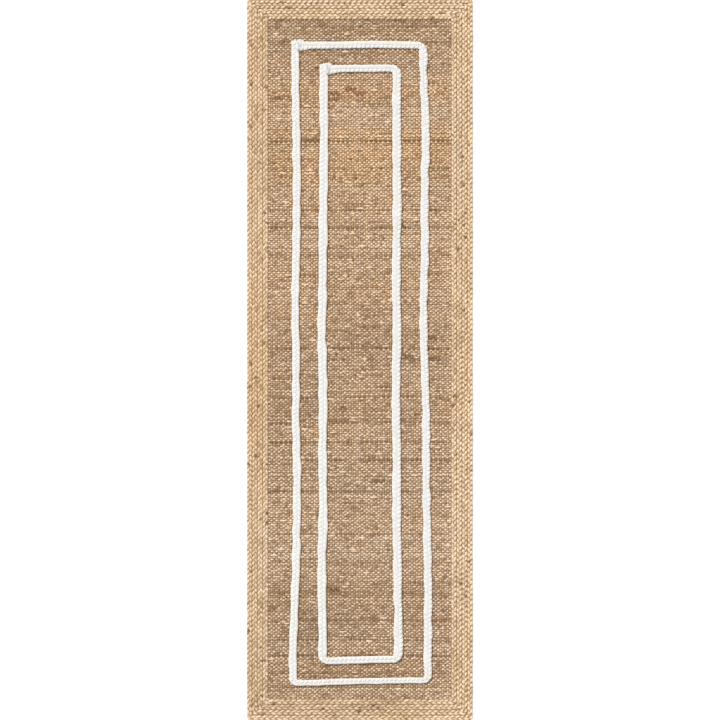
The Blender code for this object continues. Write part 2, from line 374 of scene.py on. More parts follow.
def spun_yarn_group() -> bpy.types.NodeTree:
    """Return the group that colours spun yarn, made the first time it is asked for.

    Returns:
        A group that takes a yarn's colours and how strongly they vary, and puts out its colour,
        roughness and height.
    """
    found = bpy.data.node_groups.get("Spun yarn")
    if found:
        return found
    group = bpy.data.node_groups.new("Spun yarn", "ShaderNodeTree")
    face = group.interface
    face.new_socket("Place", in_out="INPUT", socket_type="NodeSocketVector")
    for name in ("Dark", "Light", "Golden"):
        face.new_socket(name, in_out="INPUT", socket_type="NodeSocketColor")
    for name in ("Tone", "Gilt", "Warmth", "Twist", "Streaks", "Mottle", "Drift", "Roughness"):
        face.new_socket(name, in_out="INPUT", socket_type="NodeSocketFloat")
    face.new_socket("Color", in_out="OUTPUT", socket_type="NodeSocketColor")
    face.new_socket("Roughness", in_out="OUTPUT", socket_type="NodeSocketFloat")
    face.new_socket("Height", in_out="OUTPUT", socket_type="NodeSocketFloat")
    tree = Tree(group)
    given = tree.add("NodeGroupInput").outputs
    rug = tree.add("ShaderNodeTexCoord").outputs["Object"]

    parts = tree.add("ShaderNodeSeparateXYZ")
    tree.feed(parts.inputs[0], given["Place"])
    turned = tree.add("ShaderNodeCombineXYZ")
    tree.feed(turned.inputs[0], parts.outputs[0])
    winding = tree.math("MULTIPLY_ADD", parts.outputs[0], given["Twist"], parts.outputs[1])
    tree.feed(turned.inputs[1], winding)
    fibres = tree.noise(turned.outputs[0], FIBRE_SCALE, 3.0, 0.6)
    plies = tree.noise(turned.outputs[0], PLY_SCALE, 2.0, 0.5)
    streak = tree.blend(fibres, plies)
    mottle = tree.noise(rug, BLOTCH_SCALE, 1.5, 0.5)
    drift = tree.noise(rug, DRIFT_SCALE, 3.0, 0.5)

    spread = tree.math("ADD", tree.about(streak, given["Streaks"]), 0.5)
    spread = tree.math("ADD", spread, tree.about(mottle, given["Mottle"]))
    spread = tree.math("ADD", spread, tree.about(drift, given["Drift"]))
    share = tree.math("MINIMUM", tree.math("MAXIMUM", spread, 0.0), 1.0)
    plain = tree.mix(share, given["Dark"], given["Light"])
    gilded = tree.mix(given["Gilt"], plain, tree.mix(1.0, plain, given["Golden"], "MULTIPLY"))
    # The tone multiplies the colour: it holds the yarn's own lighter and darker stretches, and
    # painted shade and highlights.
    shade = tree.add("ShaderNodeCombineColor")
    tree.feed(shade.inputs[0], given["Tone"])
    for socket, lean in zip(shade.inputs[1:], GREEN_AND_BLUE_LEAN):
        power = tree.math("MULTIPLY_ADD", given["Warmth"], lean, 1.0)
        tree.feed(socket, tree.math("POWER", given["Tone"], power))
    toned = tree.mix(1.0, gilded, shade.outputs[0], "MULTIPLY")

    out = tree.add("NodeGroupOutput").inputs
    tree.feed(out["Color"], toned)
    rough = tree.math("ADD", given["Roughness"], tree.about(streak, ROUGHNESS_SPREAD))
    tree.feed(out["Roughness"], rough)
    tree.feed(out["Height"], tree.blend(plies, fibres))
    return group


@dataclass(frozen=True)
class YarnFinish:
    """How a yarn looks.

    Attributes:
        name: The material's name.
        dark: The colour of its darker fibres.
        light: The colour of its lighter fibres.
        twist: How far the fibres turn round the yarn, as a slope.
        streaks: How strongly the fibres differ.
        mottle: How strongly one stitch or crossing differs from the next.
        drift: How strongly the colour drifts over the rug.
        roughness: How rough it is.
        sheen: How much its fuzz catches the light.
        gloss: How strongly its surface reflects.
        relief: How deep its fibres are.
        warmth: How much redder its shaded places are.
        painted: Whether the pieces that wear it store their own tone and gilt.
        golden: What a fully gilt yarn's colour is multiplied by.
    """

    name: str
    dark: Colour
    light: Colour
    twist: float = 0.35
    streaks: float = 1.2
    mottle: float = 0.9
    drift: float = 0.4
    roughness: float = 0.75
    sheen: float = 0.15
    gloss: float = 0.3
    relief: float = 0.0004
    warmth: float = 1.0
    painted: bool = False
    golden: Colour = (1.10, 0.98, 0.80)

    def material(self) -> bpy.types.Material:
        """Return the material, made the first time it is asked for."""
        found = bpy.data.materials.get(self.name)
        if found:
            return found
        material = bpy.data.materials.new(self.name)
        material.use_nodes = True
        tree = Tree(material.node_tree)
        shader = material.node_tree.nodes["Principled BSDF"]
        yarn = tree.add("ShaderNodeGroup", node_tree=spun_yarn_group())
        tree.feed(yarn.inputs["Place"], tree.add("ShaderNodeUVMap", uv_map=YARN_MAP).outputs[0])
        for name, colour in (("Dark", self.dark), ("Light", self.light), ("Golden", self.golden)):
            yarn.inputs[name].default_value = (*colour, 1.0)
        for name, value in (("Tone", 1.0), ("Gilt", 0.0)):
            yarn.inputs[name].default_value = value
            if self.painted:
                stored = tree.add("ShaderNodeAttribute", attribute_name=name)
                tree.feed(yarn.inputs[name], stored.outputs["Fac"])
        for name in ("Warmth", "Twist", "Streaks", "Mottle", "Drift", "Roughness"):
            yarn.inputs[name].default_value = getattr(self, name.lower())
        bump = tree.add("ShaderNodeBump")
        bump.inputs["Strength"].default_value = 1.0
        bump.inputs["Distance"].default_value = self.relief
        tree.feed(bump.inputs["Height"], yarn.outputs["Height"])
        tree.feed(shader.inputs["Base Color"], yarn.outputs["Color"])
        tree.feed(shader.inputs["Roughness"], yarn.outputs["Roughness"])
        tree.feed(shader.inputs["Normal"], bump.outputs[0])
        shader.inputs["Sheen Weight"].default_value = self.sheen
        shader.inputs["Specular IOR Level"].default_value = self.gloss
        return material


WEFT = YarnFinish("panel weft jute", (0.40, 0.265, 0.16), (0.93, 0.72, 0.52), painted=True)
# The warps are the wefts' jute: their darker colours are painted shade for the pits where they lie
# below the weft crowns.
SHADED_WARP = YarnFinish("panel warp jute in painted shade", (0.22, 0.135, 0.075), (0.60, 0.41, 0.25), painted=True)
# The mat between the yarns is dark as painted shade for the gaps, and painted lighter under the
# border.
GAP_FIBRES_IN_SHADE = YarnFinish(
    "gap fibres in painted shade",
    (0.13, 0.08, 0.04),
    (0.32, 0.20, 0.115),
    relief=0.001,
    painted=True,
)
BORDER = YarnFinish(
    "border jute",
    (0.42, 0.28, 0.16),
    (0.92, 0.71, 0.485),
    twist=0.12,
    drift=0.55,
    roughness=0.62,
    sheen=0.2,
    painted=True,
)
COTTON = YarnFinish(
    "bleached cotton braid",
    (0.705, 0.680, 0.650),
    (0.840, 0.808, 0.773),
    twist=0.5,
    streaks=0.25,
    mottle=0.14,
    drift=0.2,
    roughness=0.85,
    sheen=0.3,
    relief=0.0001,
    warmth=0.0,
    painted=True,
    golden=(1.0, 0.97, 0.93),
)
TAN_THREAD = YarnFinish("tan sewing thread", (0.34, 0.22, 0.13), (0.62, 0.44, 0.28), twist=1.2)
PALE_THREAD = YarnFinish("pale sewing thread", (0.60, 0.60, 0.60), (0.84, 0.83, 0.82), twist=1.2)


# The panel.

# The mat's rim is made in no fixed order, so its faces are sorted along this slanted direction.
FACE_ORDER = Vector((math.pi, 17.3, 251.0))
# Picks the crossings where a weft misses a warp.
FAULT_SEED = 19
# How the cloth has been pulled across and along the rug.
PULL_ACROSS = Waves(11, 0.35)
PULL_ALONG = Waves(12, 0.55)
# Where the yarns are lighter and darker, drawn out across the rug, and where their shade is deeper.
PATCHES = Waves(33, 0.10)
PATCH_STRETCH = 6
DEEP_SHADE = Waves(34, 0.06)
# How the mat of fibres rises and falls.
MAT_SWELL = Waves(41, 0.08)


@dataclass(frozen=True)
class Band:
    """The weft's colour at one place along the panel.

    Attributes:
        y: The place.
        tone: The lightness there, where 1 is the middle one.
        gilt: How golden it is, from 0 to 1.
    """

    y: float
    tone: float
    gilt: float


BANDS = (
    Band(1.147, 0.90, 0.05),
    Band(1.135, 0.80, 0.05),
    Band(1.090, 0.84, 0.15),
    Band(1.040, 0.89, 0.30),
    Band(0.985, 0.94, 0.20),
    Band(0.955, 1.02, 0.30),
    Band(0.925, 1.13, 0.45),
    Band(0.905, 0.99, 0.65),
    Band(0.875, 1.00, 0.60),
    Band(0.850, 1.14, 0.45),
    Band(0.815, 1.23, 0.25),
    Band(0.785, 1.17, 0.55),
    Band(0.755, 1.14, 0.85),
    Band(0.740, 0.92, 0.85),
    Band(0.722, 1.22, 0.85),
    Band(0.685, 1.20, 1.00),
    Band(0.655, 1.09, 0.75),
    Band(0.600, 1.07, 0.70),
    Band(0.578, 1.15, 0.45),
    Band(0.550, 1.09, 0.45),
    Band(0.520, 1.04, 0.55),
    Band(0.480, 1.20, 0.50),
    Band(0.456, 1.04, 0.55),
    Band(0.430, 1.17, 0.45),
    Band(0.350, 1.03, 0.42),
    Band(0.300, 1.03, 0.42),
    Band(0.267, 0.92, 0.42),
    Band(0.240, 1.03, 0.42),
    Band(0.190, 0.96, 0.42),
    Band(0.140, 1.05, 0.38),
    Band(0.110, 0.98, 0.15),
    Band(0.010, 0.86, 0.25),
    Band(-0.020, 0.99, 0.20),
    Band(-0.130, 1.00, 0.15),
    Band(-0.205, 0.88, 0.22),
    Band(-0.235, 1.08, 0.30),
    Band(-0.290, 1.02, 0.25),
    Band(-0.345, 0.98, 0.20),
    Band(-0.400, 0.98, 0.18),
    Band(-0.421, 0.90, 0.08),
    Band(-0.455, 1.08, 0.00),
    Band(-0.560, 1.04, 0.12),
    Band(-0.625, 1.14, 0.10),
    Band(-0.680, 1.06, 0.08),
    Band(-0.760, 0.95, 0.00),
    Band(-0.840, 0.82, 0.08),
    Band(-0.930, 0.89, 0.02),
    Band(-0.965, 1.00, 0.00),
    Band(-1.040, 0.76, 0.00),
    Band(-1.105, 0.96, 0.00),
    Band(-1.147, 0.94, 0.00),
)

# Single picks of dark weft: each one's place and its tone.
DARK_PICKS = (
    (1.069, 0.60),
    (0.735, 0.32),
    (0.640, 0.63),
    (0.503, 0.51),
    (0.447, 0.36),
    (0.354, 0.63),
    (0.033, 0.51),
    (-0.129, 0.58),
    (-0.211, 0.51),
    (-0.283, 0.56),
    (-0.341, 0.41),
    (-0.443, 0.51),
    (-0.590, 0.56),
    (-0.692, 0.60),
    (-0.787, 0.54),
    (-0.878, 0.58),
    (-0.945, 0.56),
    (-0.997, 0.51),
)


@dataclass(frozen=True)
class Stretch:
    """A short dark stretch of one pick of weft.

    Attributes:
        y: The pick's place.
        start: Where the stretch starts, across the rug.
        end: Where it ends.
        tone: Its tone.
    """

    y: float
    start: float
    end: float
    tone: float


DARK_STRETCHES = (
    Stretch(0.906, -0.050, -0.010, 0.36),
    Stretch(0.892, -0.100, -0.068, 0.36),
    Stretch(0.892, -0.020, 0.022, 0.42),
    Stretch(0.873, -0.104, -0.070, 0.36),
    Stretch(0.878, -0.290, -0.250, 0.36),
    Stretch(0.735, -0.215, -0.130, 0.30),
    Stretch(0.070, 0.230, 0.260, 0.32),
    Stretch(0.006, 0.150, 0.185, 0.36),
    Stretch(-0.002, 0.234, 0.272, 0.36),
    Stretch(-0.013, 0.165, 0.190, 0.42),
    Stretch(-0.170, -0.068, -0.044, 0.32),
    Stretch(-0.217, -0.105, -0.045, 0.36),
    Stretch(-0.410, 0.036, 0.085, 0.36),
    Stretch(-0.784, -0.101, -0.068, 0.25),
)


@dataclass(frozen=True)
class YarnFamily:
    """The wefts or the warps.

    Attributes:
        name: What its pieces are called, before their number.
        count: How many yarns lie side by side.
        section: A yarn's section.
        finish: Its finish.
        pieces: How many pieces the yarns are made in.
        seed: Picks how they vary.
        pinch: A yarn's thickness between two crossings, as a share of the whole.
        unlike: How much lighter or darker one yarn is than the next.
    """

    name: str
    count: int
    section: Section
    finish: YarnFinish
    pieces: int
    seed: int
    pinch: float
    unlike: float

    def places(self, half: float) -> np.ndarray:
        """Return where the yarns' middles lie, from side to side of a panel of that half width."""
        return -half + (np.arange(self.count) + 0.5) * 2 * half / self.count


WEFTS = YarnFamily("weft_yarns", 348, Section(0.0068, 0.0030), WEFT, 6, 20, 0.62, 0.09)
WARPS = YarnFamily("warp_yarns", 77, Section(0.0044, 0.0015), SHADED_WARP, 2, 30, 1.0, 0.05)


@dataclass
class WovenPanel:
    """The plain-woven panel: straight, thin warps under and over wefts that stand proud as beads.

    Attributes:
        warp_crimp: How far a warp rises and falls from its middle.
        crown: The share of a crossing over which a weft lies level.
        stoutest: The thickest that a yarn gets, as a share of its plain thickness.
        thinnest: The thinnest that it gets.
        plumpness: How much thicker or thinner one yarn is than the next.
        plumpness_limits: The thinnest and the thickest of them.
        slubs: How much thicker or thinner a yarn is from one crossing to the next.
        stray: How far one crossing lies from its plain place.
        stray_limit: The furthest that one lies from it.
        uneven_picks: How far a whole weft strays, as a share of a crossing's stray.
        stray_along: How far a crossing strays along the rug, as a share of how far it does across.
        faults: The share of crossings where the weft misses a warp.
        wander: How far the wefts bow from straight lines. The warps bow half as far.
        band_wander: How far the bands of colour bow from straight lines.
        unlike_beads: How much lighter or darker one crossing is than the next.
        unlike_patches: How much lighter or darker one patch of the panel is than the next.
        unlike_gilt: How much more golden one yarn is than the next.
        shade: How dark a weft is painted where it dives, painted shade between its crossings.
        uneven_shade: How much that differs from patch to patch.
        shade_limits: The least and the most that it does.
        crown_light: How light a weft is painted where it lies level, a painted highlight on its
            crown.
        streak_count: How many short dark stretches the wefts have, and how many golden ones.
        streak_lengths: How many points the shortest has, and the longest.
        streak_tones: How dark the darkest one is, and the lightest.
        streak_gilt: How golden a golden stretch is.
        patchy_picks: How unevenly dark a dark pick is along its length.
        patch_limits: The least and the most of its darkness that it has anywhere.
        specks: The share of crossings with a dark speck.
        speck_tone: How light a speck is.
        right_light: How much lighter the right edge is than the middle, and the left one darker.
        selvedge: Where the painted light along the panel's sides starts, as a share of the panel's
            half width.
        selvedge_painted_light: How much lighter the wefts are painted there, a painted light that
            lifts the shade beside the border.
        tone_limits: The darkest and the lightest that a yarn gets.
        mat_inset: How far the mat of loose fibres stops short of the rug's edges.
        mat_cells: How many cells the mat has across and along the rug.
        mat_thickness: Its thickness.
        mat_lift: How far it rises and falls.
        border_mat_tone: How much lighter the mat's painted shade is under the border, where it is 1
            in the panel.
    """

    warp_crimp: float = 0.0004
    crown: float = 0.42
    stoutest: float = 1.25
    thinnest: float = 0.4
    plumpness: float = 0.06
    plumpness_limits: tuple[float, float] = (0.84, 1.14)
    slubs: float = 0.12
    stray: float = 0.0008
    stray_limit: float = 0.0016
    uneven_picks: float = 0.8
    stray_along: float = 0.7
    faults: float = 0.03
    wander: float = 0.0022
    band_wander: float = 0.006
    unlike_beads: float = 0.18
    unlike_patches: float = 0.05
    unlike_gilt: float = 0.12
    shade: float = 0.74
    uneven_shade: float = 0.5
    shade_limits: tuple[float, float] = (0, 2.2)
    crown_light: float = 1.06
    streak_count: int = 260
    streak_lengths: tuple[int, int] = (4, 33)
    streak_tones: tuple[float, float] = (0.50, 0.80)
    streak_gilt: float = 1.4
    patchy_picks: float = 0.6
    patch_limits: tuple[float, float] = (0.25, 1.5)
    specks: float = 0.03
    speck_tone: float = 0.62
    right_light: float = 0.03
    selvedge: float = 0.98
    selvedge_painted_light: float = 1.3
    tone_limits: tuple[float, float] = (0.25, 1.15)
    mat_inset: float = 0.006
    mat_cells: tuple[int, int] = (32, 102)
    mat_thickness: float = 0.0004
    mat_lift: float = 0.0001
    border_mat_tone: float = 2.4

    def __post_init__(self) -> None:
        """Read the panel's place from the CAD."""
        low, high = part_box(PANEL)
        self.half_x, self.half_y = high[0], high[1]
        self.middle = (low[2] + high[2]) / 2
        self.rise = (high[2] - low[2] - WEFTS.section.height * self.stoutest) / 2
        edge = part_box("border_braid_row_4")[1]
        self.mat_half = (edge[0] - self.mat_inset, edge[1] - self.mat_inset)

    def placed(self, x: np.ndarray, y: np.ndarray, z: np.ndarray) -> np.ndarray:
        """Return points of the weave, moved sideways as the cloth has been pulled in use."""
        x, y, z = np.broadcast_arrays(x, y, z)
        free_x = 1 - (x / self.half_x) ** 4
        free_y = 1 - (y / self.half_y) ** 8
        moved_x = x + self.wander * 0.5 * PULL_ACROSS.at(x, y) * free_x
        moved_y = y + self.wander * PULL_ALONG.at(x, y) * free_y
        return np.stack([moved_x, moved_y, z], axis=-1)

    def faces(self) -> np.ndarray:
        """Return 1 at each crossing where the weft lies on top and -1 where it lies under."""
        plain = 1 - 2 * ((np.arange(WEFTS.count)[:, None] + np.arange(WARPS.count)[None, :]) % 2)
        missed = np.random.default_rng(FAULT_SEED).random(plain.shape) < self.faults
        return np.where(missed, -plain, plain)

    def build_wefts(self) -> list[bpy.types.Object]:
        """Make the weft yarns, with three points for each crossing."""
        pitch = 2 * self.half_x / WARPS.count
        level_half = self.crown / 2 * pitch
        middles = WARPS.places(self.half_x)
        ends = np.column_stack([middles - level_half, middles + level_half, middles + pitch / 2])
        x = np.concatenate([[-self.half_x], ends.ravel()])
        crossing = np.concatenate([[0], np.repeat(np.arange(WARPS.count), 3)])
        faces = self.faces()
        dives = np.column_stack([(faces[:, :-1] + faces[:, 1:]) / 2, np.zeros(WEFTS.count)])
        level = np.stack([faces, faces, dives], axis=-1).reshape(WEFTS.count, -1)
        level = np.column_stack([np.zeros(WEFTS.count), level])
        random = np.random.default_rng(WEFTS.seed)
        free = (np.abs(x) < self.half_x - pitch).astype(float)
        stray = random.normal(0, self.stray, (2, WEFTS.count, WARPS.count))
        across, along = stray.clip(-self.stray_limit, self.stray_limit)
        y = WEFTS.places(self.half_y)
        y = y + random.normal(0, self.stray, WEFTS.count) * self.uneven_picks
        last = self.half_y - WEFTS.section.width / 2
        y = y.clip(-last, last)[:, None] + along[:, crossing] * self.stray_along
        x = x[None, :] + across[:, crossing] * free
        points = self.placed(x, y, self.middle + self.rise * level)
        return self.build_family(WEFTS, points, level, crossing)

    def build_warps(self) -> list[bpy.types.Object]:
        """Make the warp yarns, with one point for each crossing."""
        y = np.concatenate([[-self.half_y], WEFTS.places(self.half_y), [self.half_y]])
        crossing = np.concatenate([[0], np.arange(WEFTS.count), [WEFTS.count - 1]])
        level = -self.faces().T[:, crossing]
        x = WARPS.places(self.half_x)
        points = self.placed(x[:, None], y[None, :], self.middle + self.warp_crimp * level)
        return self.build_family(WARPS, points, level, crossing)

    def bands(self, seed: int, points: np.ndarray) -> tuple[np.ndarray, np.ndarray]:
        """Return the tone and gilt of the bands at each point."""
        y = points[..., 1] + self.band_wander * Waves(seed, 0.4).at(points[..., 0], points[..., 1])
        rising = sorted(BANDS, key=lambda band: band.y)
        places = [band.y for band in rising]
        tone = np.interp(y, places, [band.tone for band in rising])
        return tone, np.interp(y, places, [band.gilt for band in rising])

    def streaks(self, seed: int, shape: tuple[int, int]) -> np.ndarray:
        """Return how much a few short stretches of yarn are darker than the rest."""
        random = np.random.default_rng(seed)
        shortest, longest = self.streak_lengths
        result = np.ones(shape)
        for _ in range(self.streak_count):
            row, start = random.integers(shape[0]), random.integers(shape[1])
            tone = random.uniform(*self.streak_tones)
            result[row, start : start + random.integers(shortest, longest + 1)] = tone
        return result

    def darken_picks(self, tone: np.ndarray, points: np.ndarray) -> None:
        """Darken the single dark picks of weft and the short dark stretches, in place.

        Args:
            tone: The wefts' tones, one row for each.
            points: Their points.
        """
        middles = WEFTS.places(self.half_y)
        for number, (y, dark) in enumerate(DARK_PICKS):
            pick = np.abs(middles - y).argmin()
            patchy = Waves(60 + number, 0.12).about_one(self.patchy_picks, points[pick, :, 0])
            tone[pick] *= dark ** patchy.clip(*self.patch_limits)
        for stretch in DARK_STRETCHES:
            pick = np.abs(middles - stretch.y).argmin()
            x = points[pick, :, 0]
            tone[pick : pick + 2, (x > stretch.start) & (x < stretch.end)] = stretch.tone

    def build_family(
        self, family: YarnFamily, points: np.ndarray, level: np.ndarray, crossing: np.ndarray
    ) -> list[bpy.types.Object]:
        """Make the pieces of one family of yarns.

        Args:
            family: The family.
            points: The yarns' points, one row for each.
            level: Whether each point lies on top, under or between, as 1, -1 or 0.
            crossing: Which crossing each of a yarn's points belongs to.

        Returns:
            The pieces.
        """
        count = family.count
        grid = (count, crossing.max() + 1)
        random = np.random.default_rng(family.seed + 1)
        each = random.normal(1.0, self.plumpness, count).clip(*self.plumpness_limits)
        slubs = 1 + self.slubs * random.normal(size=grid)[:, crossing]
        dive = np.where(level == 0, family.pinch, 1.0)
        thick = (each[:, None] * slubs * dive).clip(self.thinnest, self.stoutest)

        tone, gilt = self.bands(family.seed + 2, points)
        yarn = random.normal(0, family.unlike, count)[:, None]
        beads = random.normal(0, self.unlike_beads, grid)[:, crossing]
        patches = PATCHES.at(points[..., 0], points[..., 1] * PATCH_STRETCH)
        patches *= self.unlike_patches
        tone = tone * (1 + yarn + beads + patches)
        gilt = gilt + random.normal(0, self.unlike_gilt, count)[:, None]
        if family is WEFTS:
            # Painted shade where a weft dives between two crossings, deeper in some patches, and a
            # painted highlight on its level crowns.
            depth = DEEP_SHADE.about_one(self.uneven_shade, points[..., 0], points[..., 1])
            dark = self.shade ** depth.clip(*self.shade_limits)
            tone *= np.where(level == 0, dark, self.crown_light)
            tone *= self.streaks(family.seed + 3, tone.shape)
            specks = random.random(grid) < self.specks
            tone *= np.where(specks, self.speck_tone, 1.0)[:, crossing]
            x = points[..., 0] / self.half_x
            # Painted light along the panel's sides, which lifts the shade beside the border.
            painted_edge_light = np.where(np.abs(x) > self.selvedge, self.selvedge_painted_light, 1.0)
            tone *= (1 + self.right_light * x) * painted_edge_light
            gilt = gilt + self.streak_gilt * (1 - self.streaks(family.seed + 4, tone.shape))
            self.darken_picks(tone, points)
        pieces = []
        section = family.section
        for number, rows in enumerate(np.array_split(np.arange(count), family.pieces), start=1):
            piece = yarns(f"{family.name}_{number}", points[rows], thick[rows], section)
            paint(piece, TONE, np.repeat(tone[rows].clip(*self.tone_limits).ravel(), section.sides))
            paint(piece, GILT, np.repeat(gilt[rows].clip(0, 1).ravel(), section.sides))
            attach(piece, family.finish.material(), "panel_jute", PANEL)
            pieces.append(piece)
        return pieces

    def build(self) -> list[bpy.types.Object]:
        """Make the fibres between the yarns and the yarns, and return the pieces, fibres first."""
        return [self.build_mat(), *self.build_wefts(), *self.build_warps()]

    def build_mat(self) -> bpy.types.Object:
        """Make the mat of loose fibres that fills the gaps between the yarns and the strands, dark as
        painted shade.
        """
        bm = bmesh.new()
        columns, rows = self.mat_cells
        bmesh.ops.create_grid(bm, x_segments=columns, y_segments=rows, size=1.0)
        bmesh.ops.scale(bm, vec=(*self.mat_half, 1), verts=bm.verts)
        for vertex in bm.verts:
            lift = float(MAT_SWELL.at(np.array(vertex.co.x), np.array(vertex.co.y)))
            vertex.co.z = self.middle + self.mat_thickness / 2 + self.mat_lift * lift
        faces = list(bm.faces)
        bmesh.ops.solidify(bm, geom=faces, thickness=self.mat_thickness)
        bmesh.ops.recalc_face_normals(bm, faces=bm.faces)
        bm.faces.sort(key=lambda face: face.calc_center_median().dot(FACE_ORDER))
        mesh = bpy.data.meshes.new("rug_fibre_mat")
        bm.to_mesh(mesh)
        bm.free()
        mesh.uv_layers.new(name=YARN_MAP)
        corners = np.empty(len(mesh.loops), np.int32)
        mesh.loops.foreach_get("vertex_index", corners)
        spots = np.array([vertex.co[:2] for vertex in mesh.vertices], np.float32)
        mesh.uv_layers[YARN_MAP].uv.foreach_set("vector", spots[corners].ravel())
        mesh.shade_smooth()
        piece = bpy.data.objects.new("rug_fibre_mat", mesh)
        bpy.context.scene.collection.objects.link(piece)
        beyond = (np.abs(spots) > (self.half_x, self.half_y)).any(axis=1)
        paint(piece, TONE, np.where(beyond, self.border_mat_tone, 1.0))
        paint(piece, GILT, np.zeros(len(spots)))
        border = [f"border_braid_row_{number}" for number in range(1, 5)]
        attach(piece, GAP_FIBRES_IN_SHADE.material(), "panel_jute", PANEL, *border)
        return piece


# The border.


@dataclass(frozen=True)
class RingLine:
    """A closed line round the panel, a rectangle with its corners turned.

    Attributes:
        half_x: Half its width.
        half_y: Half its length.
        radius: The radius of its corners.
        ease: How far from a corner's end a strand starts to lean into the corner.
        corner_points: How many points a corner has.
    """

    half_x: float
    half_y: float
    radius: float = 0.008
    ease: float = 0.030
    corner_points: int = 17

    def outline(self) -> np.ndarray:
        """Return the line's points, the first one again at the end."""
        angles = np.radians(np.linspace(0, 90, self.corner_points))
        points = []
        for turn, (side_x, side_y) in enumerate(((1, 1), (-1, 1), (-1, -1), (1, -1))):
            angle = angles + math.radians(90) * turn
            middle = (side_x * (self.half_x - self.radius), side_y * (self.half_y - self.radius))
            arc = np.column_stack([np.cos(angle), np.sin(angle)]) * self.radius
            points.append(arc + middle)
        outline = np.concatenate(points)
        return np.vstack([outline, outline[:1]])

    def length(self) -> float:
        """Return the distance round the line."""
        return distances_along(self.outline())[-1]

    def at(self, share: np.ndarray) -> np.ndarray:
        """Return the points at shares of the way round, from 0 to 1."""
        outline = self.outline()
        reached = distances_along(outline)
        return points_along(outline, reached, share * reached[-1])

    def outward(self, points: np.ndarray) -> np.ndarray:
        """Return how a strand beside the line moves for each step outward, at points on it."""
        result = np.empty_like(points)
        for axis, half in enumerate((self.half_x, self.half_y)):
            near = (np.abs(points[:, axis]) - (half - self.ease)) / (self.ease - self.radius)
            near = near.clip(0, 1)
            result[:, axis] = np.sign(points[:, axis]) * near**2 * (3 - 2 * near)
        return result


@dataclass(frozen=True)
class Fade:
    """How light and how golden the border is at one place along its two long sides.

    Attributes:
        y: The place.
        left_tone: The left side's lightness there, where 1 is the middle one.
        right_tone: The right side's.
        left_gilt: How golden the left side is there, from 0 to 1.
        right_gilt: How golden the right side is.
    """

    y: float
    left_tone: float
    right_tone: float
    left_gilt: float
    right_gilt: float


SIDE_LOOKS = (
    Fade(-1.21, 0.97, 0.97, 0.10, 0.10),
    Fade(-1.12, 0.90, 0.90, 0.12, 0.14),
    Fade(-1.03, 0.92, 0.93, 0.08, 0.15),
    Fade(-0.84, 0.94, 0.99, 0.00, 0.15),
    Fade(-0.65, 1.01, 1.02, 0.00, 0.08),
    Fade(-0.46, 1.04, 1.01, 0.18, 0.03),
    Fade(-0.27, 1.00, 0.98, 0.40, 0.10),
    Fade(-0.09, 0.96, 0.91, 0.55, 0.28),
    Fade(0.10, 0.98, 0.95, 0.42, 0.28),
    Fade(0.29, 0.99, 1.00, 0.36, 0.25),
    Fade(0.48, 1.02, 1.01, 0.22, 0.20),
    Fade(0.67, 1.00, 1.10, 0.28, 0.12),
    Fade(0.86, 1.03, 1.06, 0.30, 0.15),
    Fade(1.05, 0.94, 0.96, 0.33, 0.25),
    Fade(1.21, 0.96, 1.05, 0.26, 0.22),
)


def side_looks_at(points: np.ndarray, half_x: float) -> tuple[np.ndarray, np.ndarray]:
    """Return the border's tone and gilt at points on it.

    Args:
        points: The points, two numbers each.
        half_x: Half the width of the row that they are on.

    Returns:
        The tones and the gilts.
    """
    right = (1 + points[:, 0] / half_x) / 2
    places = [look.y for look in SIDE_LOOKS]
    results = []
    for name in ("tone", "gilt"):
        sides = [[getattr(look, f"{side}_{name}") for look in SIDE_LOOKS] for side in ("left", "right")]
        on_left, on_right = (np.interp(points[:, 1], places, values) for values in sides)
        results.append(on_left + (on_right - on_left) * right)
    return results[0], results[1]


# How light each border row is, from the panel outwards, and how strongly its strands' shaded places
# differ from their crowns.
ROW_LOOKS = ((0.98, 1.0), (0.97, 1.0), (0.95, 1.35), (1.00, 1.25))
# A strand's painted shade and highlight against its height in the braid, from -1 where another covers
# it to 1.
SHADE_HEIGHTS = (-1.0, -0.6, 0.0, 0.5, 0.95)
SHADES = (0.80, 0.63, 0.70, 0.92, 1.11)


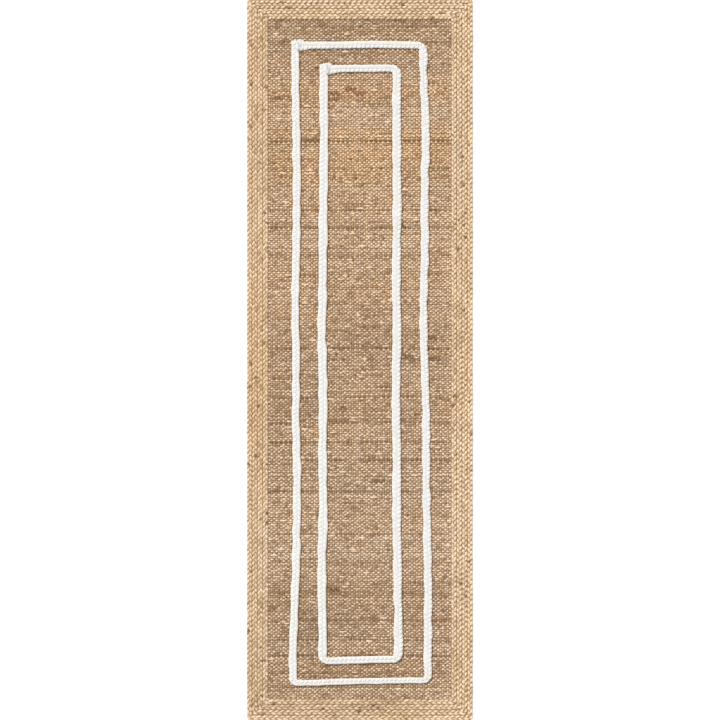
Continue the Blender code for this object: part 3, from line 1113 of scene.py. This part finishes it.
@dataclass
class BorderRow:
    """One row of the border, three strands of jute in a flat braid.

    Attributes:
        number: The row's number, from the panel outwards.
        tone: How light the row is.
        contrast: How strongly its strands' shaded places differ from their crowns.
        repeats: The length of one repeat of the braid along the top, left, bottom and right.
        corner: How far from a corner the braid keeps that length.
        samples: How many points one repeat gets.
        strand: A strand's section.
        swing: How far a strand swings to either side.
        square: How much it dwells at the sides, as a share of the swing.
        uneven_swing: How much further one swing goes than the next.
        uneven_repeats: How much longer one repeat is than the next, in repeats.
        flat_thickness: A strand's thickness where it changes sides.
        crown_thickness: How much thicker it is where it lies on top or underneath.
        uneven_thickness: How much that varies along it.
        thinnest: The thinnest that it gets, as a share of its plain thickness.
        stoutest: The thickest that it gets.
        side_light: How much lighter a strand is painted where it turns at the row's sides, easing the
            painted shade there.
        unlike_lobes: How much lighter or darker one crossing is than the next.
        unlike_stretches: How much lighter or darker one long stretch is than the next.
        unlike_gilt: How much more golden one long stretch is than the next.
        uneven_shade: How much the depth of its shade varies.
        shade_limits: The least and the most that the shade counts.
        flecks: How much lighter or darker a strand is from one point to the next.
        knots: How many dark knots of loose fibre a strand has.
        knot_points: How many points a knot is long.
        knot_tones: How dark the darkest knot is, and the lightest.
        tone_limits: The darkest and the lightest that a strand gets.
    """

    number: int
    tone: float = 1.0
    contrast: float = 1.0
    repeats: tuple[float, ...] = (0.0552, 0.0498, 0.0595, 0.0510)
    corner: float = 0.05
    samples: int = 17
    strand: Section = Section(0.0084, 0.0048)
    swing: float = 0.0058
    square: float = 0.074
    uneven_swing: float = 0.10
    uneven_repeats: float = 0.045
    flat_thickness: float = 0.98
    crown_thickness: float = 0.13
    uneven_thickness: float = 0.05
    thinnest: float = 0.8
    stoutest: float = 1.18
    side_light: float = 0.20
    unlike_lobes: float = 0.13
    unlike_stretches: float = 0.03
    unlike_gilt: float = 0.15
    uneven_shade: float = 0.45
    shade_limits: tuple[float, float] = (0.2, 2.0)
    flecks: float = 0.06
    knots: int = 7
    knot_points: int = 3
    knot_tones: tuple[float, float] = (0.30, 0.55)
    tone_limits: tuple[float, float] = (0.3, 1.16)

    def __post_init__(self) -> None:
        """Read the row's place from the CAD."""
        self.node = f"border_braid_row_{self.number}"
        low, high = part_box(self.node)
        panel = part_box(PANEL)[1]
        inner = CLEARANCE + (self.number - 1) * ROW_PITCH
        middle = inner + (high[0] - panel[0] - inner) / 2
        self.line = RingLine(panel[0] + middle, panel[1] + middle)
        self.middle = (low[2] + high[2]) / 2
        self.lift = (high[2] - low[2] - self.strand.height * self.stoutest) / 2

    def turns(self) -> tuple[np.ndarray, np.ndarray]:
        """Return shares of the way round, and how many repeats of the braid come before each.

        Neighbouring rows keep in step along each side, so a lobe of one lies in the hollow of the
        next. The repeats end on a whole number, so the braid closes.
        """
        line = self.line
        length = line.length()
        arc = line.radius * math.pi / 2
        straights = (2 * (line.half_x - line.radius), 2 * (line.half_y - line.radius)) * 2
        places, counts = [], []
        reached, count = 0.0, 0.0
        for index, (straight, repeat) in enumerate(zip(straights, self.repeats)):
            middle = reached + arc + straight / 2
            if index:
                halves = straights[index - 1] / self.repeats[index - 1] + straight / repeat
                count += round(3 * (halves / 2 + arc / repeat)) / 3
            free = straight / 2 - self.corner
            places += [middle - free, middle + free]
            counts += [count - free / repeat, count + free / repeat]
            reached += arc + straight
        last = straights[-1] / self.repeats[-1] + straights[0] / self.repeats[0]
        whole = round(count + last / 2 + arc / self.repeats[0])
        places = [places[-1] - length, *places, places[0] + length]
        counts = [counts[-1] - whole, *counts, counts[0] + whole]
        wanted = np.interp(0.0, places, counts) + np.arange(whole * self.samples) / self.samples
        return np.interp(wanted, counts, places) / length, wanted

    def build_strand(
        self, strand: int, points: np.ndarray, outward: np.ndarray, turns: np.ndarray
    ) -> bpy.types.Object:
        """Make one strand, three of which are a row.

        What varies slowly along it is a field with a seed of its own, and its wavelength is in
        repeats of the braid.

        Args:
            strand: 0, 1 or 2.
            points: Points on the row's middle line.
            outward: How the strand moves at each of them for each step outward.
            turns: How many repeats of the braid come before each.

        Returns:
            The strand.
        """
        seed = self.number * 10 + strand
        random = np.random.default_rng(seed)
        drift = self.uneven_repeats * Waves(self.number, 11.0).at(turns)
        phase = 2 * math.pi * (turns + strand / 3 + drift)
        level = np.sin(2 * phase)
        swing = self.swing * Waves(seed, 1.3).about_one(self.uneven_swing, turns)
        side = swing * (np.sin(phase) + self.square * np.sin(3 * phase))
        path = np.column_stack([points + outward * side[:, None], self.middle + self.lift * level])
        thick = self.flat_thickness + self.crown_thickness * level**2
        thick *= Waves(seed + 500, 0.7).about_one(self.uneven_thickness, turns)
        thick = thick.clip(self.thinnest, self.stoutest)
        name = f"{self.node}_strand_{strand + 1}"
        piece = yarns(name, [path], [thick], self.strand, closed=True)

        lobes = random.normal(0, self.unlike_lobes, int(np.ptp(turns) * 2) + 3)
        tone = 1 + np.interp((turns - turns[0]) * 2, np.arange(len(lobes)), lobes)
        tone += random.normal(0, self.flecks, len(tone))
        # Painted shade where a strand lies low or under the others and a painted highlight on its
        # crown, lifted where it turns at the row's sides.
        depth = Waves(seed + 300, 1.6).about_one(self.uneven_shade, turns)
        shade = np.interp(level, SHADE_HEIGHTS, SHADES)
        shade += self.side_light * np.abs(np.sin(phase)) ** 8
        tone *= shade ** (self.contrast * depth.clip(*self.shade_limits))
        tone *= self.tone * Waves(seed + 900, 9.0).about_one(self.unlike_stretches, turns)
        look, golden = side_looks_at(points, self.line.half_x)
        tone *= look
        for start in random.integers(len(tone), size=self.knots):
            tone[start : start + self.knot_points] *= random.uniform(*self.knot_tones)
        gilt = golden + self.unlike_gilt * Waves(seed + 700, 6.0).at(turns)
        paint(piece, TONE, np.repeat(tone.clip(*self.tone_limits), self.strand.sides))
        paint(piece, GILT, np.repeat(gilt.clip(0, 1), self.strand.sides))
        attach(piece, BORDER.material(), "border_jute", self.node)
        return piece

    def build(self) -> list[bpy.types.Object]:
        """Make the row's three strands and return them."""
        shares, turns = self.turns()
        points = self.line.at(shares)
        outward = self.line.outward(points)
        return [self.build_strand(strand, points, outward, turns) for strand in range(3)]


@dataclass
class BorderSeam:
    """The zigzag lockstitch between two neighbours in the border.

    Attributes:
        number: The seam's number, from the panel outwards.
        stitch: The length of one zigzag.
        reach: How far a stitch reaches to either side.
        zigzag: Which way it reaches at each of its four points.
        heights: How far its four points lie above the border's middle, or below it.
        thread: The thread's section.
    """

    number: int
    stitch: float = 0.012
    reach: float = 0.0026
    zigzag: tuple[float, ...] = (1.0, 0.0, -1.0, 0.0)
    heights: tuple[float, ...] = (0.0021, 0.0026, 0.0021, 0.0026)
    thread: Section = Section(0.0010, 0.0010, sides=4)

    def build(self, side: Side) -> bpy.types.Object:
        """Make the seam's needle thread or, on the underside, its bobbin thread."""
        name = f"border_seam_{self.number}_{side.thread}"
        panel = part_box(PANEL)[1]
        low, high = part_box("border_braid_row_1")
        offset = (self.number - 1) * ROW_PITCH + CLEARANCE / 2
        line = RingLine(panel[0] + offset, panel[1] + offset)
        steps = np.arange(round(line.length() / self.stitch) * len(self.zigzag))
        point = steps % len(self.zigzag)
        points = line.at(steps / len(steps))
        across = self.reach * np.array(self.zigzag)[point]
        height = (low[2] + high[2]) / 2 + side.value * np.array(self.heights)[point]
        path = np.column_stack([points + line.outward(points) * across[:, None], height])
        piece = yarns(f"{name}_stitches", [path], [np.ones(len(steps))], self.thread, closed=True)
        attach(piece, TAN_THREAD.material(), "jute_thread", f"{name}_thread")
        return piece


# The white lines.


@dataclass(frozen=True)
class LineRoute:
    """Where one white line runs, as its CAD solid does.

    Attributes:
        name: The line's name.
        seed: Picks how its strands vary.
        inset: How far its middle lies in from the panel's left, right, top and bottom edges.
        side_width: The braid's width along the sides.
        top_width: Its width along the top.
        bottom_width: Its width along the bottom.
        left: How far it strays along the left side, from top to bottom.
        right: The same for the right side.
        top: How far it strays along the top, from left to right.
        bottom: The same for the bottom.
    """

    name: str
    seed: int
    inset: tuple[float, float, float, float]
    side_width: float
    top_width: float
    bottom_width: float
    left: tuple[float, ...]
    right: tuple[float, ...]
    top: tuple[float, ...]
    bottom: tuple[float, ...]


OUTER = LineRoute(
    name="outer",
    seed=61,
    inset=(0.0935, 0.089, 0.087, 0.061),
    side_width=0.027,
    top_width=0.0245,
    bottom_width=0.0205,
    left=(-0.002, 0.001, 0.003, 0.001, -0.002, 0.001, 0.000, 0.004, 0.002, -0.003, -0.010),
    right=(-0.0055, 0.003, -0.001, 0.000, -0.005, -0.002, 0.004, 0.004, 0.008, 0.011, 0.010),
    top=(-0.0005, 0.000, 0.002, 0.000),
    bottom=(-0.005, -0.001, 0.001, 0.003),
)
INNER = LineRoute(
    name="inner",
    seed=62,
    inset=(0.185, 0.184, 0.166, 0.133),
    side_width=0.0295,
    top_width=0.0245,
    bottom_width=0.024,
    left=(0.003, 0.003, 0.001, -0.001, -0.004, 0.001, -0.002, 0.001, -0.004, -0.002),
    right=(-0.0005, 0.000, 0.001, -0.002, 0.000, -0.003, 0.000, -0.001, 0.003, 0.005),
    top=(-0.001, 0.001),
    bottom=(-0.003, 0.000, 0.002),
)


# How far a seam's thread stands out at the four points of one stitch, from -1 inside the cloth to 1.
STITCH_BULGES = (-1.0, 0.6, 1.0, 0.6)
# A stitch over a line's gathered end: how far across the braid each of its points lies, as a share,
# and how far below the braid's top.
END_STITCH_SHARES = (0.0, 0.01, 0.06, 0.25, 0.5, 0.75, 0.94, 0.99, 1.0)
END_STITCH_DROPS = (0.0030, 0.0016, 0.0, -0.0002, -0.0003, -0.0002, 0.0, 0.0016, 0.0030)


@dataclass
class WhiteLine:
    """One white line: a flat braid of three cotton strands, its seam and its bound end.

    Attributes:
        route: Where it runs.
        repeat: The length of one repeat of the braid.
        samples: How many points one repeat gets.
        strand: A strand's section where the line is as wide as along the sides.
        height: The braid's height.
        spacing: How far apart the points of its middle are.
        sight: How far ahead and behind its direction is measured.
        turn_radius: The radius of its corners.
        turn_steps: How many steps a corner has.
        overshoot: How far its start runs past the top run.
        start_inner_half: The start's width to its inner side, where the finished end lies beside it.
        start_overlap: How far the finished end is pushed in over the start's edge.
        start_squeeze: How far from the start that lasts.
        start_ease: How far the width takes to change after it.
        finish_width: The width of the gathered end.
        finish_length: Its length.
        finish_outer_ease: How far the outer edge takes to reach that width.
        finish_inner_ease: The same for the inner edge.
        stitch: The length of one stitch of the seam.
        seam_thread: The seam thread's section.
        seam_margin: How far from either end the seam stops.
        seam_sink: How far the needle thread's middle lies below the braid's top.
        seam_bulge: How far a needle stitch stands out of it.
        seam_sway: How far a stitch leans to either side.
        bobbin_height: How high above the floor the bobbin thread's middle lies.
        bobbin_bulge: How far a bobbin stitch stands out of it.
        end_stitches: How many stitches go over the end.
        end_thread: Their thread's section.
        end_margin: How far from the end the first one lies.
        end_lean: How far along the line one leans.
        end_reach: How far one reaches past the braid's edges.
        end_rise: How far one lies above the braid.
        fullness: How far its lobes stand out from its plain edge.
        square: How much a strand dwells at the sides, as a share of its swing.
        uneven: How far its edges wave in and out.
        even_ends: How far from either end they run straight.
        even_across: How much less they wave along the top and the bottom.
        uneven_swing: How much further one swing of a strand goes than the next.
        uneven_thickness: How much a strand's thickness varies along it.
        unlike_stretches: How much lighter or darker one stretch is than the next.
        groove: How far from its middle the groove that the seam pulls in reaches.
        groove_shade: How much darker the groove is.
        edge_shade: How much darker its edges are.
        edge_gilt: How much yellower they are.
    """

    route: LineRoute
    repeat: float = 0.045
    samples: int = 16
    strand: Section = Section(0.0135, 0.0031, sides=8)
    height: float = 0.0046
    spacing: float = 0.004
    sight: float = 0.006
    turn_radius: float = 0.018
    turn_steps: int = 5
    overshoot: float = 0.015
    start_inner_half: float = 0.0045
    start_overlap: float = 0.0012
    start_squeeze: float = 0.034
    start_ease: float = 0.007
    finish_width: float = 0.0385
    finish_length: float = 0.017
    finish_outer_ease: float = 0.006
    finish_inner_ease: float = 0.034
    stitch: float = 0.0075
    seam_thread: Section = Section(0.0011, 0.0011, sides=5)
    seam_margin: float = 0.004
    seam_sink: float = 0.0007
    seam_bulge: float = 0.0008
    seam_sway: float = 0.0009
    bobbin_height: float = 0.0017
    bobbin_bulge: float = 0.0011
    end_stitches: int = 6
    end_thread: Section = Section(0.0011, 0.0011, sides=6)
    end_margin: float = 0.003
    end_lean: float = 0.0012
    end_reach: float = 0.0004
    end_rise: float = 0.0002
    fullness: float = 0.0002
    square: float = 0.18
    uneven: float = 0.0015
    even_ends: float = 0.05
    even_across: float = 0.65
    uneven_swing: float = 0.04
    uneven_thickness: float = 0.04
    unlike_stretches: float = 0.04
    groove: float = 0.0028
    groove_shade: float = 0.04
    edge_shade: float = 0.02
    edge_gilt: float = 0.35

    def __post_init__(self) -> None:
        """Read the line's place from the CAD, and work out its middle."""
        self.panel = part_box(PANEL)[1]
        self.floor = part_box(f"{self.route.name}_line_braid")[0][2]
        self.points = np.array([tuple(point) for point in self.middle_points()])
        self.reached = distances_along(self.points)
        self.length = float(self.reached[-1])

    def middle_points(self) -> list[Vector]:
        """Return the points of the line's middle: down the left side, round, and along the top."""
        right, up = Vector((1, 0)), Vector((0, 1))
        route = self.route
        left_x = -self.panel[0] + route.inset[0]
        right_x = self.panel[0] - route.inset[1]
        top_y = self.panel[1] - route.inset[2]
        bottom_y = -self.panel[1] + route.inset[3]
        start = Vector((left_x + route.left[0], top_y + self.overshoot))
        finish = Vector((start.x + self.start_inner_half + CLEARANCE, top_y + route.top[0]))
        top_left, bottom_left = Vector((left_x, top_y)), Vector((left_x, bottom_y))
        top_right, bottom_right = Vector((right_x, top_y)), Vector((right_x, bottom_y))
        points = [start]
        points += self.strayed(top_left, bottom_left, route.left, right)
        corner = Vector((left_x + route.left[-1], bottom_y + route.bottom[0]))
        points += self.turned(corner, -up, right)
        points += self.strayed(bottom_left, bottom_right, route.bottom, up)
        corner = Vector((right_x + route.right[-1], bottom_y + route.bottom[-1]))
        points += self.turned(corner, right, up)
        points += self.strayed(bottom_right, top_right, route.right[::-1], right)
        corner = Vector((right_x + route.right[0], top_y + route.top[-1]))
        points += self.turned(corner, up, -right)
        points += self.strayed(top_right, top_left, route.top[::-1], up)[:-1]
        points += [finish + right * self.finish_length * step for step in (2, 1, 0)]
        return self.smoothed(points)

    def strayed(self, start: Vector, end: Vector, stray: tuple, shift: Vector) -> list[Vector]:
        """Return a side's points, each moved sideways as the side strays there."""
        count = len(stray)
        return [start.lerp(end, (i + 0.5) / count) + shift * stray[i] for i in range(count)]

    def turned(self, corner: Vector, before: Vector, after: Vector) -> list[Vector]:
        """Return the arc that turns a corner, between the directions before and after it."""
        middle = corner + (after - before) * self.turn_radius
        steps = range(self.turn_steps + 1)
        angles = [math.radians(90) * step / self.turn_steps for step in steps]
        arms = [before * math.sin(angle) - after * math.cos(angle) for angle in angles]
        return [middle + arm * self.turn_radius for arm in arms]

    def smoothed(self, points: list[Vector]) -> list[Vector]:
        """Return close points on the Catmull-Rom curve through the given ones."""
        result = [points[0]]
        for index, (start, end) in enumerate(zip(points, points[1:])):
            before = points[max(index - 1, 0)]
            after = points[min(index + 2, len(points) - 1)]
            slope = end - before
            bend = 2 * before - 5 * start + 4 * end - after
            twist = 3 * start - before - 3 * end + after
            steps = math.ceil((end - start).length / self.spacing)
            for t in (step / steps for step in range(1, steps + 1)):
                result.append(0.5 * (2 * start + slope * t + bend * t**2 + twist * t**3))
        return result

    def at(self, distance: np.ndarray) -> tuple[np.ndarray, np.ndarray]:
        """Return the middle's points at distances along the line, and its inward directions there."""
        place, front, back = (
            points_along(self.points, self.reached, distance + shift)
            for shift in (0.0, self.sight, -self.sight)
        )
        ahead = front - back
        ahead /= np.linalg.norm(ahead, axis=1)[:, None]
        return place, np.column_stack([-ahead[:, 1], ahead[:, 0]])

    def widths(self, distance: np.ndarray) -> tuple[np.ndarray, np.ndarray]:
        """Return the braid's width to its outer and its inner side, at distances along it."""
        place, inward = self.at(distance)
        end_width = np.where(place[:, 1] > 0, self.route.top_width, self.route.bottom_width)
        turn = inward[:, 1] ** 2
        half = (self.route.side_width + (end_width - self.route.side_width) * turn) / 2
        left = self.length - distance - self.finish_length
        flare = self.finish_width / 2 - half
        outer = half + flare * (1 - left / self.finish_outer_ease).clip(0, 1)
        inner = half + flare * (1 - left / self.finish_inner_ease).clip(0, 1)
        free = (np.minimum(distance, self.length - distance) / self.even_ends - 1).clip(0, 1)
        wave = self.uneven * free * (1 - self.even_across * turn)
        outer = outer + wave * Waves(self.route.seed + 400, 0.08).at(distance)
        inner = inner + wave * Waves(self.route.seed + 500, 0.08).at(distance)
        near_start = (1 - (distance - self.start_squeeze) / self.start_ease).clip(0, 1)
        narrowed = half - self.start_inner_half - self.start_overlap
        return outer, inner - narrowed * near_start

    def build_strand(self, strand: int) -> bpy.types.Object:
        """Make one of the braid's three strands, numbered from 0."""
        distance = np.linspace(0, self.length, int(self.length / self.repeat * self.samples))
        place, inward = self.at(distance)
        outer, inner = self.widths(distance)
        half, middle = (outer + inner) / 2, (inner - outer) / 2
        scale = half / (self.route.side_width / 2)
        seed = self.route.seed * 10 + strand
        phase = 2 * math.pi * (distance / self.repeat + strand / 3)
        swing = half + self.fullness - self.strand.width / 2 * scale
        swayed = (np.sin(phase) + self.square * np.sin(3 * phase)) / (1 - self.square)
        side = middle + swing * swayed * Waves(seed, 0.05).about_one(self.uneven_swing, distance)
        lift = (self.height - self.strand.height) / 2
        height = self.floor + self.height / 2 + lift * np.sin(2 * phase)
        path = np.column_stack([place + inward * side[:, None], height])
        thick = scale * Waves(seed + 50, 0.05).about_one(self.uneven_thickness, distance)
        piece = yarns(f"{self.route.name}_line_strand_{strand + 1}", [path], [thick], self.strand)

        # Painted shade in the groove that the seam pulls in and along the braid's edges; the edges'
        # yarn is also yellower.
        groove = np.exp(-((side - middle) ** 2) / self.groove**2)
        edge = np.abs(np.sin(phase)) ** 3
        tone = 1 - self.groove_shade * groove - self.edge_shade * edge
        tone += self.unlike_stretches * Waves(seed + 70, 0.02).at(distance)
        paint(piece, TONE, np.repeat(tone, self.strand.sides))
        paint(piece, GILT, np.repeat(self.edge_gilt * edge, self.strand.sides))
        attach(piece, COTTON.material(), "white_braid", f"{self.route.name}_line_braid")
        return piece

    def build_seam(self, side: Side) -> bpy.types.Object:
        """Make the thread along the braid's middle or, under the panel, its bobbin thread."""
        name = f"{self.route.name}_line_{side.thread}"
        quarters = len(STITCH_BULGES)
        stitches = int((self.length - 2 * self.seam_margin) / self.stitch)
        steps = np.arange(stitches * quarters + 1)
        place, inward = self.at(self.seam_margin + steps / quarters * self.stitch)
        bulge = np.array(STITCH_BULGES)[steps % quarters]
        if side is Side.UPPER:
            height = self.floor + self.height - self.seam_sink + self.seam_bulge * bulge
        else:
            height = self.bobbin_height - self.bobbin_bulge * bulge
        leaning = np.where(steps // quarters % 2 == 0, 1, -1) * (steps % quarters > 0)
        path = np.column_stack([place + inward * (self.seam_sway * leaning)[:, None], height])
        piece = yarns(f"{name}_stitches", [path], [np.ones(len(path))], self.seam_thread)
        attach(piece, PALE_THREAD.material(), "white_thread", f"{name}_thread")
        return piece

    def build_end_stitches(self) -> bpy.types.Object:
        """Make the stitches that go over the gathered end, from edge to edge."""
        count = len(END_STITCH_SHARES)
        height = self.floor + self.height - np.array(END_STITCH_DROPS) + self.end_rise
        paths = []
        for number in range(self.end_stitches):
            spread = number * (self.finish_length - self.end_margin) / self.end_stitches
            lean = self.end_lean * (1 if number % 2 else -1)
            middle = self.length - (self.end_margin + spread)
            distance = np.full(count, middle) + np.linspace(-lean, lean, count)
            place, inward = self.at(distance)
            outer, inner = self.widths(distance)
            span = outer + inner + 2 * self.end_reach
            side = -outer - self.end_reach + np.array(END_STITCH_SHARES) * span
            paths.append(np.column_stack([place + inward * side[:, None], height]))
        thick = [np.ones(count)] * self.end_stitches
        piece = yarns(f"{self.route.name}_line_end_binding", paths, thick, self.end_thread)
        node = f"{self.route.name}_line_end_stitches"
        attach(piece, PALE_THREAD.material(), "white_thread", node)
        return piece

    def build(self) -> list[bpy.types.Object]:
        """Make the whole line and return its pieces."""
        pieces = [self.build_strand(strand) for strand in range(3)]
        pieces += [self.build_seam(side) for side in Side]
        return [*pieces, self.build_end_stitches()]


# The studio.


@dataclass
class Studio:
    """The plain floor, the soft light and the camera above the rug.

    Attributes:
        floor_size: The floor's width.
        floor_gap: How far below the rug it lies.
        floor_colour: The floor's colour.
        floor_roughness: How rough it is.
        floor_gloss: How strongly it reflects.
        floor_glow: How bright the floor is by itself, as a light table is.
        sky: How bright the light from all round is.
        sun: How bright the main light is.
        sun_distance: How far away it stands, which changes nothing.
        sun_softness: How wide the main light looks, in degrees.
        sun_tilt: How far the main light stands from straight above, in degrees.
        sun_turn: Which way it stands, in degrees anticlockwise from +X.
        seen_length: How much of the rug's length the camera sees.
        aim: Where the camera looks, across and along the rug.
        lens: The camera's focal length, in millimetres.
    """

    floor_size: float = 60.0
    floor_gap: float = 0.0003
    floor_colour: Colour = (0.80, 0.80, 0.80)
    floor_roughness: float = 0.9
    floor_gloss: float = 0.1
    floor_glow: float = 0.45
    sky: float = 0.60
    sun: float = 2.95
    sun_distance: float = 5.0
    sun_softness: float = 12.0
    sun_tilt: float = 48.0
    sun_turn: float = 125.0
    seen_length: float = 2.4286
    aim: tuple[float, float] = (0.0008, -0.0024)
    lens: float = 200.0

    def build(self) -> None:
        """Make the floor, the lights and the camera."""
        self.build_floor()
        self.build_lights()
        self.build_camera()
        bpy.context.scene.view_settings.view_transform = "Standard"

    def build_floor(self) -> None:
        """Make the floor just under the rug."""
        bm = bmesh.new()
        bmesh.ops.create_grid(bm, x_segments=1, y_segments=1, size=self.floor_size / 2)
        bmesh.ops.translate(bm, vec=(0, 0, -self.floor_gap), verts=bm.verts)
        mesh = bpy.data.meshes.new("studio_floor")
        bm.to_mesh(mesh)
        bm.free()
        floor = bpy.data.objects.new("studio_floor", mesh)
        bpy.context.scene.collection.objects.link(floor)
        material = bpy.data.materials.new("studio floor")
        material.use_nodes = True
        shader = material.node_tree.nodes["Principled BSDF"]
        shader.inputs["Base Color"].default_value = (*self.floor_colour, 1.0)
        shader.inputs["Roughness"].default_value = self.floor_roughness
        shader.inputs["Specular IOR Level"].default_value = self.floor_gloss
        shader.inputs["Emission Color"].default_value = (1.0, 1.0, 1.0, 1.0)
        shader.inputs["Emission Strength"].default_value = self.floor_glow
        mesh.materials.append(material)

    def build_lights(self) -> None:
        """Light the rug from all round, and more from one side."""
        world = bpy.data.worlds.new("studio light")
        world.use_nodes = True
        background = world.node_tree.nodes["Background"]
        background.inputs["Color"].default_value = (1.0, 1.0, 1.0, 1.0)
        background.inputs["Strength"].default_value = self.sky
        bpy.context.scene.world = world
        light = bpy.data.lights.new("main_light", "SUN")
        light.energy = self.sun
        light.angle = math.radians(self.sun_softness)
        lamp = bpy.data.objects.new("main_light", light)
        bpy.context.scene.collection.objects.link(lamp)
        tilt, turn = math.radians(self.sun_tilt), math.radians(self.sun_turn)
        level = math.sin(tilt)
        beam = Vector((level * math.cos(turn), level * math.sin(turn), math.cos(tilt)))
        lamp.location = beam * self.sun_distance
        lamp.rotation_euler = beam.to_track_quat("Z", "Y").to_euler()

    def build_camera(self) -> None:
        """Set the camera straight above the rug."""
        camera = bpy.data.cameras.new("camera")
        camera.lens = self.lens
        height = self.seen_length / camera.sensor_width * self.lens
        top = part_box("border_braid_row_1")[1][2]
        holder = bpy.data.objects.new("camera", camera)
        holder.location = (*self.aim, top + height)
        bpy.context.scene.collection.objects.link(holder)
        bpy.context.scene.camera = holder


def main() -> None:
    """Build the rug round its frame, then the studio."""
    logging.basicConfig(level=logging.INFO, format="%(name)s: %(message)s")
    panel = WovenPanel()
    mat, *others = panel.build()
    for row, (tone, contrast) in enumerate(ROW_LOOKS, start=1):
        others += BorderRow(row, tone, contrast).build()
        others += [BorderSeam(row).build(side) for side in Side]
    for route in (OUTER, INNER):
        others += WhiteLine(route).build()
    Studio().build()
    LOG.info("%d pieces", len(others) + 1)


if __name__ == "__main__":
    main()
